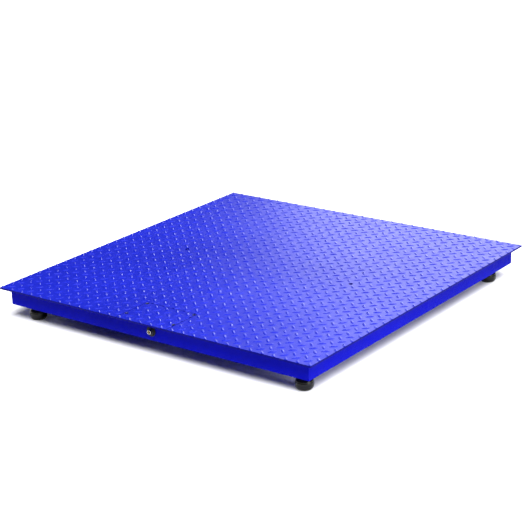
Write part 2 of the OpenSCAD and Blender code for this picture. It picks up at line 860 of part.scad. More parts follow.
foot_pad(rear_left);  // foot_pad_rear_left
foot_pad(rear_right);  // foot_pad_rear_right
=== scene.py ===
import json
import math

import bpy
import numpy as np
from mathutils import Matrix, Vector


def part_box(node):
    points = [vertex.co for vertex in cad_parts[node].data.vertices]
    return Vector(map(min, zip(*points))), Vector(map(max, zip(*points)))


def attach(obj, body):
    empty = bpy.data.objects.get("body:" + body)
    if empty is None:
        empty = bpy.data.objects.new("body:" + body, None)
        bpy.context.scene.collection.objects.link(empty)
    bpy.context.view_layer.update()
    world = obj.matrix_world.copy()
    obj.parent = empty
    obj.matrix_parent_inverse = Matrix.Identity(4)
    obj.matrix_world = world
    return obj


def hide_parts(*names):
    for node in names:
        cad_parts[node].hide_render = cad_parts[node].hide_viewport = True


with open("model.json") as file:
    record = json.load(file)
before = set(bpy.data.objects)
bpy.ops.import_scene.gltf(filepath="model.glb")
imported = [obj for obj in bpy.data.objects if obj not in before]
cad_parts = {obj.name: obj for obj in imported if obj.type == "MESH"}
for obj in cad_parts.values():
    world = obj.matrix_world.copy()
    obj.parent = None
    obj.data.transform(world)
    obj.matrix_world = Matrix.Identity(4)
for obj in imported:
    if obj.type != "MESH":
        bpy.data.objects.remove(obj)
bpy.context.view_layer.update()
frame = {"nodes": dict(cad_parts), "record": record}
nodes = frame["nodes"]
corners = ["front_left", "front_right", "rear_left", "rear_right"]
print("frame loaded:", len(nodes), "nodes")

# sizes read from the frame, in metres
deckLow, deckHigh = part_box("deck_plate")
coverLow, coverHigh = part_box("access_cover")
bossLow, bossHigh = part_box("lifting_bosses")
screwLow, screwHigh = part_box("cover_screws")
deckTop = deckHigh.z


def meshPiece(name, points, faces, material, slot):
    # one smooth mesh object at the origin, from an array of points and a list of arrays of faces
    mesh = bpy.data.meshes.new(name)
    allFaces = [face for block in faces for face in block.tolist()]
    mesh.from_pydata(np.asarray(points, float).tolist(), [], allFaces)
    mesh.update()
    mesh.shade_smooth()
    piece = bpy.data.objects.new(name, mesh)
    bpy.context.scene.collection.objects.link(piece)
    mesh.materials.append(material)
    return piece


def standIn(piece, node, body):
    # the piece is shown in the node's place and moves with the body
    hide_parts(node)
    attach(piece, body)


def gridFaces(rows, columns, closeColumns=False):
    # quads between neighbouring rows and columns of a grid of points, turned to face outwards
    lastColumn = columns if closeColumns else columns - 1
    i, j = np.meshgrid(np.arange(rows - 1), np.arange(lastColumn), indexing="ij")
    nextJ = (j + 1) % columns
    below, above = i * columns, (i + 1) * columns
    return np.stack([below + j, below + nextJ, above + nextJ, above + j], -1).reshape(-1, 4)


def newMaterial(name):
    # a material with nodes, its node tree and its main shader
    material = bpy.data.materials.new(name)
    material.use_nodes = True
    return material, material.node_tree, material.node_tree.nodes["Principled BSDF"]


def join(tree, value, socket):
    # a socket takes another node's output, or a fixed value
    if isinstance(value, bpy.types.NodeSocket):
        tree.links.new(value, socket)
    else:
        socket.default_value = value


def linked(tree, kind, values=None, **inputs):
    # a new node with its settings and inputs; i0, i1 stand for inputs by number, other words for their names
    node = tree.nodes.new(kind)
    for key, value in (values or {}).items():
        setattr(node, key, value)
    for key, value in inputs.items():
        numbered = key[0] == "i" and key[1:].isdigit()
        join(tree, value, node.inputs[int(key[1:]) if numbered else key.replace("_", " ")])
    return node


def noiseAt(tree, coordinates, scale, detail=3.0, roughness=0.55, stretch=(1, 1, 1)):
    # noise with about as many blobs a metre as the scale, times the stretch along each axis
    mapping = linked(tree, "ShaderNodeMapping", Vector=coordinates, Scale=stretch)
    return linked(tree, "ShaderNodeTexNoise", Vector=mapping.outputs[0], Scale=scale, Detail=detail,
                  Roughness=roughness).outputs["Fac"]


def remap(tree, value, low, high, toLow=0.0, toHigh=1.0):
    # low becomes toLow and high becomes toHigh, in a straight line between, and flat outside
    return linked(tree, "ShaderNodeMapRange", Value=value, From_Min=low, From_Max=high, To_Min=toLow,
                  To_Max=toHigh).outputs[0]


def mathAt(tree, operation, a, b=0.0):
    # one operation on two values
    return linked(tree, "ShaderNodeMath", {"operation": operation}, i0=a, i1=b).outputs[0]


def mixColour(tree, factor, a, b):
    # colour a at factor 0, colour b at factor 1
    return linked(tree, "ShaderNodeMix", {"data_type": "RGBA"}, i0=factor, i6=a, i7=b).outputs[2]


def scaled(colour, share):
    # each channel times the share, and at most 1
    return tuple(min(1.0, share * c) for c in colour[:3]) + (1,)


def objectCoordinates(tree):
    # metres from the frame's origin
    return tree.nodes.new("ShaderNodeTexCoord").outputs["Object"]


softEdgeLook = {"samples": 6, "from": 0.98, "to": 0.80}


def softEdge(tree, radius):
    # a normal rounded over edges, and how far it leans from the true one, by the dot product of the two: 0 on
    # flats, towards 1 on edges
    bevel = linked(tree, "ShaderNodeBevel", {"samples": softEdgeLook["samples"]}, Radius=radius).outputs[0]
    true = tree.nodes.new("ShaderNodeNewGeometry").outputs["Normal"]
    agree = linked(tree, "ShaderNodeVectorMath", {"operation": "DOT_PRODUCT"}, i0=bevel, i1=true)
    return bevel, remap(tree, agree.outputs["Value"], softEdgeLook["from"], softEdgeLook["to"])


def bumpOn(tree, shader, height, distance, strength, normal):
    # the height, times the distance in metres, tilts the normal
    bump = linked(tree, "ShaderNodeBump", Height=height, Distance=distance, Strength=strength, Normal=normal)
    tree.links.new(bump.outputs[0], shader.inputs["Normal"])


enamelLook = {
    "deck": {"deep": (0.0012, 0.0060, 0.27, 1), "faded": (0.0035, 0.0100, 0.34, 1), "gloss": (0.32, 0.46),
             "shine": 0.42, "peel": 0.0006, "edge": 0.0006, "rub": 0.25},
    # painted shade: the deck's blue paint made darker, so the upright aprons and the frame under the deck
    # come out darker
    "frame": {"deep": (0.0004, 0.0010, 0.19, 1), "faded": (0.0012, 0.0018, 0.27, 1), "gloss": (0.40, 0.55),
              "shine": 0.015, "peel": 0.0008, "edge": 0.0016, "rub": 0.12},
    "broadScale": 2.2, "mottleScale": 55, "speckScale": 420, "scratchScale": 30, "peelScale": 900,
    "broadShare": 0.65, "mottleShare": 0.35, "fadeRange": (0.35, 0.65),
    "scuff": (0.035, 0.050, 0.36, 1), "scratchRange": (0.42, 0.62),
    "dust": (0.040, 0.045, 0.16, 1), "dustShare": 0.10, "speckRange": (0.56, 0.75),
    # painted shade: a dark blue and less shine on the deck plate's upright sides
    "shadedSide": (0.0004, 0.0006, 0.10, 1), "shadedSideShine": 0.03,   # the deck's upright edges
    "crown": (0.0009, 0.0016),                                # tread wears from and fully at these heights
    "crownRub": 0.5, "crownRange": (0.44, 0.62),
    "polish": 0.12,                                           # how much smoother worn tread is
    # painted shade along the access cover's seam: its colour, how far it fades out and how strong it is
    "seam": (0.0004, 0.0008, 0.07, 1), "seamWidth": 0.0022, "seamShadeShare": 0.75,
}


def seamShade(tree, at):
    # with x and y from a rectangle's middle, its outline is |max(|x| - half width, |y| - half length)| away.
    # The painted shade is strongest on it and fades out over a seam width. The rectangle is the access cover,
    # with its front side moved out of the way, as it has no seam there.
    across = linked(tree, "ShaderNodeSeparateXYZ", Vector=at)
    outOfTheWay = 1.0
    outline = None
    for axis, low, high in ((0, coverLow.x, coverHigh.x), (1, coverLow.y - outOfTheWay, coverHigh.y)):
        offMiddle = mathAt(tree, "ABSOLUTE", mathAt(tree, "SUBTRACT", across.outputs[axis], (low + high) / 2))
        past = mathAt(tree, "SUBTRACT", offMiddle, (high - low) / 2)
        outline = past if outline is None else mathAt(tree, "MAXIMUM", outline, past)
    distance = mathAt(tree, "ABSOLUTE", outline)
    return remap(tree, distance, 0.0, enamelLook["seamWidth"], enamelLook["seamShadeShare"], 0.0)


def enamel(name, look, wornAndShaded):
    # blue paint: broad fading, fine mottling, an orange-peel skin, dust specks and scuffed edges. Worn and
    # shaded paint also has scuffed and polished tread tops, a painted shade along the cover's seam and a
    # painted shade with less shine on the plate's upright sides.
    material, tree, shader = newMaterial(name)
    at = objectCoordinates(tree)
    broad = noiseAt(tree, at, enamelLook["broadScale"], 2)
    mottle = noiseAt(tree, at, enamelLook["mottleScale"], 4)
    speck = noiseAt(tree, at, enamelLook["speckScale"], 2, 0.7)
    scratch = noiseAt(tree, at, enamelLook["scratchScale"], 5, 0.7, (1, 9, 1))
    normal, rim = softEdge(tree, look["edge"])
    fade = mathAt(tree, "ADD", mathAt(tree, "MULTIPLY", broad, enamelLook["broadShare"]),
                  mathAt(tree, "MULTIPLY", mottle, enamelLook["mottleShare"]))
    colour = mixColour(tree, remap(tree, fade, *enamelLook["fadeRange"]), look["deep"], look["faded"])
    dusty = mathAt(tree, "MULTIPLY", remap(tree, speck, *enamelLook["speckRange"]), enamelLook["dustShare"])
    colour = mixColour(tree, dusty, colour, enamelLook["dust"])
    scratched = remap(tree, scratch, *enamelLook["scratchRange"], 0.0, look["rub"])
    rubbed = mathAt(tree, "MULTIPLY", rim, scratched)
    uneven = mathAt(tree, "ADD", mottle, mathAt(tree, "MULTIPLY", scratch, 0.5))
    rough = remap(tree, uneven, 0.5, 1.0, *look["gloss"])
    if wornAndShaded:
        facing = tree.nodes.new("ShaderNodeNewGeometry").outputs["True Normal"]
        upward = linked(tree, "ShaderNodeSeparateXYZ", Vector=facing).outputs[2]
        level = mathAt(tree, "ABSOLUTE", upward)
        # painted shade: faces that are not level are mixed towards the dark blue of the shaded sides
        colour = mixColour(tree, remap(tree, level, 0.2, 0.0), colour, enamelLook["shadedSide"])
        height = linked(tree, "ShaderNodeSeparateXYZ", Vector=at).outputs[2]
        crown = remap(tree, height, deckTop + enamelLook["crown"][0], deckTop + enamelLook["crown"][1])
        scuffs = remap(tree, scratch, *enamelLook["crownRange"], 0.0, enamelLook["crownRub"])
        rubbed = mathAt(tree, "MAXIMUM", rubbed, mathAt(tree, "MULTIPLY", crown, scuffs))
        # painted shade along the cover's seam
        colour = mixColour(tree, seamShade(tree, at), colour, enamelLook["seam"])
        rough = mathAt(tree, "SUBTRACT", rough, mathAt(tree, "MULTIPLY", crown, enamelLook["polish"]))
        # less shine on the upright sides, which carry the painted shade
        shine = remap(tree, upward, 0.0, 0.3, enamelLook["shadedSideShine"], look["shine"])
        tree.links.new(shine, shader.inputs["Specular IOR Level"])
    else:
        shader.inputs["Specular IOR Level"].default_value = look["shine"]
    tree.links.new(mixColour(tree, rubbed, colour, enamelLook["scuff"]), shader.inputs["Base Color"])
    tree.links.new(rough, shader.inputs["Roughness"])
    fine = noiseAt(tree, at, enamelLook["peelScale"], 2)
    peel = mathAt(tree, "ADD", fine, mathAt(tree, "MULTIPLY", mottle, 1.5))
    bumpOn(tree, shader, peel, look["peel"], 0.35, normal)
    return material


metalLook = {
    "zinc": {"light": (0.50, 0.51, 0.52, 1), "dark": (0.30, 0.31, 0.33, 1),
             "rough": (0.28, 0.48), "grain": (1, 1, 14)},
    "black": {"light": (0.030, 0.032, 0.045, 1), "dark": (0.010, 0.011, 0.020, 1),
              "rough": (0.40, 0.60), "grain": (1, 1, 8)},
    "nickel": {"light": (0.80, 0.80, 0.77, 1), "dark": (0.62, 0.62, 0.60, 1),
               "rough": (0.12, 0.28), "grain": (1, 1, 10)},
    "cell": {"light": (0.52, 0.53, 0.54, 1), "dark": (0.36, 0.37, 0.39, 1),
             "rough": (0.28, 0.42), "grain": (1, 12, 12)},
    "stainless": {"light": (0.62, 0.62, 0.61, 1), "dark": (0.42, 0.42, 0.42, 1),
                  "rough": (0.18, 0.34), "grain": (1, 1, 12)},
    "gold": {"light": (0.95, 0.72, 0.30, 1), "dark": (0.80, 0.55, 0.20, 1),
             "rough": (0.15, 0.25), "grain": (1, 1, 4)},
    "marksScale": 160, "marksDepth": 0.00015, "stainScale": 35,
    # the edge mask's radius, and the painted edge highlight's share and how much brighter it is
    "edge": 0.0005, "edgeHighlightShare": 0.6, "edgeHighlight": 1.25,
}


def metal(name, look):
    # bare or plated metal: fine tool marks plus stains set the colour and the roughness; edges get a painted
    # highlight, a brighter colour
    material, tree, shader = newMaterial(name)
    at = objectCoordinates(tree)
    marks = noiseAt(tree, at, metalLook["marksScale"], 4, 0.6, look["grain"])
    stain = noiseAt(tree, at, metalLook["stainScale"], 3)
    normal, rim = softEdge(tree, metalLook["edge"])
    both = mathAt(tree, "ADD", marks, stain)
    colour = mixColour(tree, remap(tree, both, 0.75, 1.25), look["dark"], look["light"])
    # painted highlight: edges are mixed towards a brighter copy of the light colour
    brighter = scaled(look["light"], metalLook["edgeHighlight"])
    colour = mixColour(tree, mathAt(tree, "MULTIPLY", rim, metalLook["edgeHighlightShare"]), colour, brighter)
    tree.links.new(colour, shader.inputs["Base Color"])
    tree.links.new(remap(tree, both, 0.8, 1.2, *look["rough"]), shader.inputs["Roughness"])
    shader.inputs["Metallic"].default_value = 1.0
    bumpOn(tree, shader, marks, metalLook["marksDepth"], 0.4, normal)
    return material


softLook = {
    "padRubber": {"base": (0.0015, 0.0015, 0.0017, 1), "bloom": (0.004, 0.004, 0.004, 1),
                  "rough": (0.12, 0.24), "shine": 0.17, "grit": 0.00012},
    "sealRubber": {"base": (0.003, 0.003, 0.004, 1), "bloom": (0.010, 0.010, 0.010, 1),
                   "rough": (0.5, 0.7), "shine": 0.12, "grit": 0.0002},
    "jacket": {"base": (0.008, 0.008, 0.009, 1), "bloom": (0.02, 0.02, 0.02, 1),
               "rough": (0.4, 0.6), "shine": 0.4, "grit": 0.0001},
    "nylon": {"base": (0.004, 0.004, 0.005, 1), "bloom": (0.012, 0.012, 0.013, 1),
              "rough": (0.3, 0.45), "shine": 0.4, "grit": 0.0001},
    "acetal": {"base": (0.40, 0.39, 0.36, 1), "bloom": (0.46, 0.45, 0.43, 1),
               "rough": (0.3, 0.45), "shine": 0.4, "grit": 0.0001},
    "greyCase": {"base": (0.17, 0.175, 0.18, 1), "bloom": (0.22, 0.225, 0.23, 1),
                 "rough": (0.4, 0.55), "shine": 0.4, "grit": 0.0002},
    "laminate": {"base": (0.005, 0.055, 0.018, 1), "bloom": (0.01, 0.08, 0.03, 1),
                 "rough": (0.25, 0.4), "shine": 0.5, "grit": 0.00005},
    "terminal": {"base": (0.008, 0.10, 0.035, 1), "bloom": (0.015, 0.14, 0.05, 1),
                 "rough": (0.35, 0.5), "shine": 0.4, "grit": 0.00005},
    "trimmer": {"base": (0.005, 0.03, 0.18, 1), "bloom": (0.01, 0.045, 0.22, 1),
                "rough": (0.25, 0.35), "shine": 0.5, "grit": 0.00005},
    # the edge mask's radius, and the painted edge highlight's share and how much paler it is
    "cloudScale": 40, "gritScale": 1400, "edge": 0.0005, "edgeHighlightShare": 0.5, "edgeHighlight": 1.6,
}


def moulded(name, look):
    # rubber or plastic: a cloudy bloom over the base colour, a fine grit, a roughness from both, and a
    # painted highlight on the edges, a paler colour
    material, tree, shader = newMaterial(name)
    at = objectCoordinates(tree)
    cloud = noiseAt(tree, at, softLook["cloudScale"], 3)
    grit = noiseAt(tree, at, softLook["gritScale"], 2, 0.6)
    normal, rim = softEdge(tree, softLook["edge"])
    colour = mixColour(tree, remap(tree, cloud, 0.4, 0.7), look["base"], look["bloom"])
    # painted highlight: edges are mixed towards a paler copy of the bloom colour
    paler = scaled(look["bloom"], softLook["edgeHighlight"])
    colour = mixColour(tree, mathAt(tree, "MULTIPLY", rim, softLook["edgeHighlightShare"]), colour, paler)
    tree.links.new(colour, shader.inputs["Base Color"])
    both = mathAt(tree, "ADD", cloud, grit)
    tree.links.new(remap(tree, both, 0.8, 1.2, *look["rough"]), shader.inputs["Roughness"])
    shader.inputs["Specular IOR Level"].default_value = look["shine"]
    bumpOn(tree, shader, grit, look["grit"], 0.5, normal)
    return material


deckPaint = enamel("deckPaint", enamelLook["deck"], True)
# the deck's blue made darker: painted shade on the frame
shadedFramePaint = enamel("shadedFramePaint", enamelLook["frame"], False)
zinc = metal("zincPlate", metalLook["zinc"])
blackZinc = metal("blackZinc", metalLook["black"])
nickel = metal("nickelPlate", metalLook["nickel"])
cellSteel = metal("cellSteel", metalLook["cell"])
stainless = metal("stainlessSteel", metalLook["stainless"])
gold = metal("goldPlate", metalLook["gold"])
padRubber = moulded("padRubber", softLook["padRubber"])
sealRubber = moulded("sealRubber", softLook["sealRubber"])
jacket = moulded("leadJacket", softLook["jacket"])
nylon = moulded("blackNylon", softLook["nylon"])
acetal = moulded("acetalSeat", softLook["acetal"])
greyCase = moulded("greyCase", softLook["greyCase"])
laminate = moulded("boardLaminate", softLook["laminate"])
terminalPlastic = moulded("terminalPlastic", softLook["terminal"])
trimmerPlastic = moulded("trimmerPlastic", softLook["trimmer"])

finishOfSlot = {
    "deck_paint": deckPaint, "frame_paint": shadedFramePaint, "bare_steel": shadedFramePaint, "plated_steel": zinc,
    "cell_steel": cellSteel, "nickel": nickel, "foot_steel": stainless, "seat_plastic": acetal,
    "pad_rubber": padRubber, "seal_rubber": sealRubber, "lead_jacket": jacket, "black_plastic": nylon,
    "box_plastic": greyCase, "board_laminate": laminate, "terminal_plastic": terminalPlastic,
    "pot_plastic": trimmerPlastic, "gold_plate": gold,
}
slotOfNode = {s["node"]: s["material_slot"] for s in frame["record"]["subparts"]}
for name, node in nodes.items():
    node.data.materials.clear()
    node.data.materials.append(finishOfSlot[slotOfNode[name]])

shading = {
    "join": 0.000005,    # points closer than this are one
    "sharpest": 38,      # degrees: flatter edges are shaded smooth
}


def smoothShading(name):
    # a modifier that joins loose triangles, then shades every edge flatter than the sharpest angle smooth
    tree = bpy.data.node_groups.new(name, "GeometryNodeTree")
    tree.interface.new_socket("Geometry", in_out="INPUT", socket_type="NodeSocketGeometry")
    tree.interface.new_socket("Geometry", in_out="OUTPUT", socket_type="NodeSocketGeometry")
    source, target = tree.nodes.new("NodeGroupInput"), tree.nodes.new("NodeGroupOutput")
    joined = linked(tree, "GeometryNodeMergeByDistance", Geometry=source.outputs[0], Distance=shading["join"])
    angle = tree.nodes.new("GeometryNodeInputMeshEdgeAngle").outputs["Unsigned Angle"]
    flat = linked(tree, "FunctionNodeCompare", {"operation": "LESS_THAN"},
                  A=angle, B=math.radians(shading["sharpest"]))
    faces = linked(tree, "GeometryNodeSetShadeSmooth", {"domain": "FACE"}, Geometry=joined.outputs[0])
    edges = linked(tree, "GeometryNodeSetShadeSmooth", {"domain": "EDGE"}, Geometry=faces.outputs[0])
    tree.links.new(flat.outputs[0], edges.inputs["Shade Smooth"])
    tree.links.new(edges.outputs[0], target.inputs[0])
    return tree


softened = smoothShading("smoothShading")
for node in nodes.values():
    node.modifiers.new("smoothShading", "NODES").node_group = softened
print("materials made")


threadPitch = 0.00175    # of the feet and bolts


def turned(rows, segments, pitch=threadPitch, loop=False):
    # a piece turned about z. Each row is radius, height, flat and depth. Round the row the radius is the
    # smaller of the row's own and flat / cos(angle from the nearest flat's middle), less depth times a
    # triangle wave that climbs one pitch a turn, which cuts a screw thread. A loop joins its last row to its
    # first, as in a ring.
    rows = np.array([tuple(row) + (0,) * (4 - len(row)) for row in rows], float)
    angle = np.arange(segments) * 2 * np.pi / segments
    radius, height, flat, depth = (rows[:, k, None] for k in range(4))
    fromFlat = (angle[None] + np.pi / 6) % (np.pi / 3) - np.pi / 6
    limited = np.where(flat > 0, np.minimum(radius, flat / np.cos(fromFlat)), radius)
    phase = (height / pitch - angle[None] / (2 * np.pi)) % 1
    r = limited - depth * np.abs(2 * phase - 1)
    z = np.broadcast_to(height, r.shape)
    points = np.stack([r * np.cos(angle), r * np.sin(angle), z], -1).reshape(-1, 3)
    side = gridFaces(len(rows), segments, closeColumns=True)
    ring = np.arange(segments)
    after = (ring + 1) % segments
    last = (len(rows) - 1) * segments
    if loop:
        return points, [side, np.stack([last + ring, last + after, after, ring], -1)]
    points = np.concatenate([points, [[0, 0, rows[0, 1]], [0, 0, rows[-1, 1]]]])
    bottom = np.stack([np.full(segments, len(points) - 2), after, ring], -1)
    top = np.stack([np.full(segments, len(points) - 1), last + ring, last + after], -1)
    return points, [side, bottom, top]


def standing(shape, at, axis=(0, 0, 1)):
    # the shape with its z turned to the axis and its origin moved to a spot
    turn = np.array(Vector(axis).to_track_quat("Z", "Y").to_matrix())
    return shape[0] @ turn.T + np.array(at), shape[1]


def together(shapes):
    # one shape from several: each one's face numbers grow by the count of the points before it
    starts = np.cumsum([0] + [len(points) for points, blocks in shapes])
    blocks = [block + start for (points, own), start in zip(shapes, starts) for block in own]
    return np.concatenate([points for points, own in shapes]), blocks


def profileRows(radius, height, flat=0.0, depth=0.0):
    # rows for turned(), from whole arrays or single values set side by side
    return np.stack(np.broadcast_arrays(radius, height, flat, depth), -1).tolist()


def hexRows(low, high, flat, chamfer):
    # rows of a hexagonal head. A corner is flat / cos(30 degrees) out and the end faces are a little inside
    # the flats, so each chamfer cuts the corners in a curve.
    insideFlat = 0.0004
    corner, face = flat / math.cos(math.pi / 6), flat - insideFlat
    return [(face, low, flat), (corner, low + chamfer, flat),
            (corner, high - chamfer, flat), (face, high, flat)]


def threadRows(radius, low, high, depth, pitch=threadPitch):
    # rows a quarter of a pitch apart, with a plain row at the thread's root on top
    heights = np.arange(low, high - pitch / 2, pitch / 4)
    return profileRows(radius, heights, depth=depth) + [(radius - depth, high)]


def domeRows(radius, middle, low, high, count):
    # rows of a ball between two heights: the radius is the square root of radius^2 - (height - middle)^2,
    # which is kept above nothing at the pole
    pole = 1e-12
    reach = np.arccos((middle - np.array([low, high])) / radius)
    heights = middle - radius * np.cos(np.linspace(*reach, count))
    return profileRows(np.sqrt(np.maximum(radius ** 2 - (heights - middle) ** 2, pole)), heights)


foot = {
    "ballRadius": 0.008, "ballHeight": 0.022, "neckRadius": 0.0046, "neckFlare": (0.0008, 0.0012),
    "collar": (0.0405, 0.0485), "flat": 0.00935, "chamfer": 0.0012,
    "threadRadius": 0.006, "threadDepth": 0.0010, "threadTop": 0.086,
    "padRadius": 0.028, "padHeight": 0.036, "sag": 0.27, "roundness": 2.8, "sideRows": 41,
    "groove": 0.0009, "grooveAt": (-0.42, 0.42), "grooveWidth": 0.05,   # places from -1 to 1 up the side
    "pocket": 0.01405, "pocketRim": 0.025, "mouth": 0.017, "mouthRound": (0.0012, 0.0006),
    "gripRings": 20, "gripFrom": 0.003, "gripDepth": 0.0006, "soleEdge": (0.0015, 0.0008),
}


def padShape():
    # side radius = R (1 - sag |u|^roundness), with u from -1 to 1 up the side, less two grooves shaped like
    # exp(-((u - at) / width)^2). The sole has rings of equal width, and every other one is raised.
    u = np.linspace(-1, 1, foot["sideRows"])
    side = foot["padRadius"] * (1 - foot["sag"] * np.abs(u) ** foot["roundness"])
    for at in foot["grooveAt"]:
        side = side - foot["groove"] * np.exp(-((u - at) / foot["grooveWidth"]) ** 2)
    inset, lift = foot["soleEdge"]
    rings = np.linspace(foot["gripFrom"], side[0] - inset, foot["gripRings"])
    raised = foot["gripDepth"] * (np.arange(foot["gripRings"]) % 2)
    raised[-1] = 0.0
    sole = [(foot["gripFrom"] / 2, 0.0)] + profileRows(rings, raised)
    up = [(side[0], lift)] + profileRows(side, foot["padHeight"] * (1 + u) / 2)[1:]
    outer, inner = foot["mouthRound"]
    top = [(foot["mouth"] + outer, foot["padHeight"]), (foot["mouth"], foot["padHeight"] - inner),
           (foot["pocket"] - 0.0002, foot["pocketRim"])]
    middle = foot["ballHeight"]
    pocket = domeRows(foot["pocket"], middle, middle - foot["pocket"], foot["pocketRim"], 9)
    return turned(sole + up + top + pocket[-2:0:-1], 48)


def stemShape():
    # a ball up to where it is as narrow as the neck, the neck, a hexagonal collar and the thread
    low, high = foot["collar"]
    ball, neck, (flare, rise) = foot["ballRadius"], foot["neckRadius"], foot["neckFlare"]
    ballRows = domeRows(ball, foot["ballHeight"], foot["ballHeight"] - ball,
                        foot["ballHeight"] + math.sqrt(ball ** 2 - neck ** 2), 13)
    neckRows = [(neck, low - rise), (neck + flare, low)]
    thread = threadRows(foot["threadRadius"], high, foot["threadTop"], foot["threadDepth"])
    return turned(ballRows[1:] + neckRows + hexRows(low, high, foot["flat"], foot["chamfer"]) + thread, 36)


def footSpots():
    # x and y of each foot's middle
    boxes = [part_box("foot_pad_" + corner) for corner in corners]
    return [tuple((low + high) / 2)[:2] for low, high in boxes]


def fitFeet():
    # the same pad and stem at each corner, riding that foot's own bodies
    pad, stem = padShape(), stemShape()
    for corner, (x, y) in zip(corners, footSpots()):
        padPiece = meshPiece("pad_" + corner, *standing(pad, (x, y, 0)), padRubber, "pad_rubber")
        standIn(padPiece, "foot_pad_" + corner, corner + "_foot_pad")
        stemPiece = meshPiece("stem_" + corner, *standing(stem, (x, y, 0)), stainless, "foot_steel")
        standIn(stemPiece, "foot_stem_" + corner, corner + "_foot_stem")


fitFeet()
print("feet made")

fixings = {
    "nutFlat": 0.00935, "nutBore": 0.0061, "nutBevel": (0.0006, 0.0005), "chamfer": 0.0012,
    "boltHead": 0.0075, "boltRadius": 0.006, "threadDepth": 0.0010, "shank": 0.0115, "boltSpacing": 0.0254,
    "washerRadius": 0.012,
    "screwRadius": 0.003, "screwHead": 0.0062, "screwCone": 0.0033, "screwTip": 0.0008,
    "screwKey": 0.002, "keyDepth": 0.002,
}


def lockNuts():
    # a hexagonal ring round each foot's stem, with its bore bevelled at both ends
    low, high = (v.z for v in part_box("lock_nuts"))
    bore, (wider, deep) = fixings["nutBore"], fixings["nutBevel"]
    inner = [(bore, high - deep), (bore, low + deep)]
    head = hexRows(low, high, fixings["nutFlat"], fixings["chamfer"])
    shape = turned([(bore + wider, low)] + head + [(bore + wider, high)] + inner, 36, loop=True)
    nuts = [standing(shape, (x, y, 0)) for x, y in footSpots()]
    standIn(meshPiece("lockNuts", *together(nuts), zinc, "plated_steel"), "lock_nuts", "platform")


def cellBolts():
    # two bolts at each corner, a bolt spacing apart along x: head below, plain shank, then the thread
    boltLow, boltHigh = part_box("cell_bolts")
    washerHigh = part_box("cell_washers")[1]
    under = boltLow.z + fixings["boltHead"]
    shankTop = under + fixings["shank"]
    head = hexRows(boltLow.z, under, fixings["nutFlat"], fixings["chamfer"])
    shank = [(fixings["boltRadius"], under), (fixings["boltRadius"], shankTop)]
    thread = threadRows(fixings["boltRadius"], shankTop + 0.0005, boltHigh.z, fixings["threadDepth"])
    shape = turned([(fixings["boltRadius"] / 2, boltLow.z)] + head + shank + thread, 36)
    outer = washerHigh.x - fixings["washerRadius"]
    bolts = [standing(shape, (math.copysign(outer - step, x), y, 0))
             for x, y in footSpots() for step in (0, fixings["boltSpacing"])]
    standIn(meshPiece("cellBolts", *together(bolts), zinc, "plated_steel"), "cell_bolts", "platform")


def screwSpots():
    # x and y of the four cover screws, a head's radius in from the corners of their box
    inset = fixings["screwHead"]
    return [(x, y) for x in (screwLow.x + inset, screwHigh.x - inset)
            for y in (screwLow.y + inset, screwHigh.y - inset)]


def coverScrews():
    # countersunk screws: a shank, a cone, and a flat head with a hexagonal socket
    top, r, head, key = screwHigh.z, fixings["screwRadius"], fixings["screwHead"], fixings["screwKey"]
    tip = fixings["screwTip"]
    corner = key / math.cos(math.pi / 6)
    rows = [(r - tip, screwLow.z), (r, screwLow.z + tip), (r, top - fixings["screwCone"]),
            (head - 0.0003, top - 0.0003), (head - 0.0005, top - 0.0001), (head - 0.0009, top),
            (key * 1.25, top), (corner, top - 0.0003, key), (corner, top - fixings["keyDepth"], key)]
    shape = turned(rows, 36)
    screws = [standing(shape, (x, y, 0)) for x, y in screwSpots()]
    standIn(meshPiece("coverScrews", *together(screws), blackZinc, "plated_steel"), "cover_screws", "cover")


lockNuts()
cellBolts()
coverScrews()

gland = {
    "cell": {"flat": 0.0065, "hex": 0.004, "body": 0.0055, "length": 0.014, "thread": 0.004, "in": 0.005},
    "box": {"flat": 0.0058, "hex": 0.004, "body": 0.0054, "length": 0.016, "thread": 0.0046, "in": 0.0055},
    "bore": 0.0026, "chamfer": 0.0006, "ribs": 4, "ribDepth": 0.0004, "boxRow": 0.0168,
}


def glandShape(look):
    # thread, hexagon and a ribbed dome nut in one ring: the dome's radius falls by half a rib's depth times
    # (1 - cos of the height), with so many waves from the hexagon to the nose
    bore, chamfer = gland["bore"], gland["chamfer"]
    heights = np.linspace(look["hex"] + chamfer, look["length"] - 0.0025, 6 * gland["ribs"])
    wave = np.cos(np.linspace(0, 2 * np.pi * gland["ribs"], len(heights)))
    dome = profileRows(look["body"] - gland["ribDepth"] * (1 - wave) / 2, heights)
    nose = [(look["body"] - 0.0008, look["length"] - 0.0008), (bore + 0.0012, look["length"]),
            (bore, look["length"] - chamfer)]
    thread = [(bore, -look["in"]), (look["thread"] - 0.0005, -look["in"]),
              (look["thread"], -look["in"] + 0.0005), (look["thread"], 0.0)]
    return turned(thread + hexRows(0.0, look["hex"], look["flat"], chamfer) + dome + nose, 30, loop=True)


def glands():
    # one gland on each load cell's inner end, two on the junction box's left side and three on its right side
    low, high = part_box("cell_glands")
    inward = high.x - gland["cell"]["in"]
    z = (low.z + high.z) / 2
    spots = [((math.copysign(inward, x), y, z), (-math.copysign(1, x), 0, 0)) for x, y in footSpots()]
    shape = glandShape(gland["cell"])
    shapes = [standing(shape, at, axis) for at, axis in spots]
    standIn(meshPiece("cellGlands", *together(shapes), nickel, "nickel"), "cell_glands", "platform")
    boxLow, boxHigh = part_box("junction_box")
    middle = (boxLow + boxHigh) / 2
    spots = [(boxLow.x, -1, k) for k in (-1, 1)] + [(boxHigh.x, 1, k) for k in (-1, 0, 1)]
    shape = glandShape(gland["box"])
    shapes = [standing(shape, (x, middle.y + k * gland["boxRow"], middle.z), (way, 0, 0))
              for x, way, k in spots]
    standIn(meshPiece("boxGlands", *together(shapes), nylon, "black_plastic"), "box_glands", "platform")


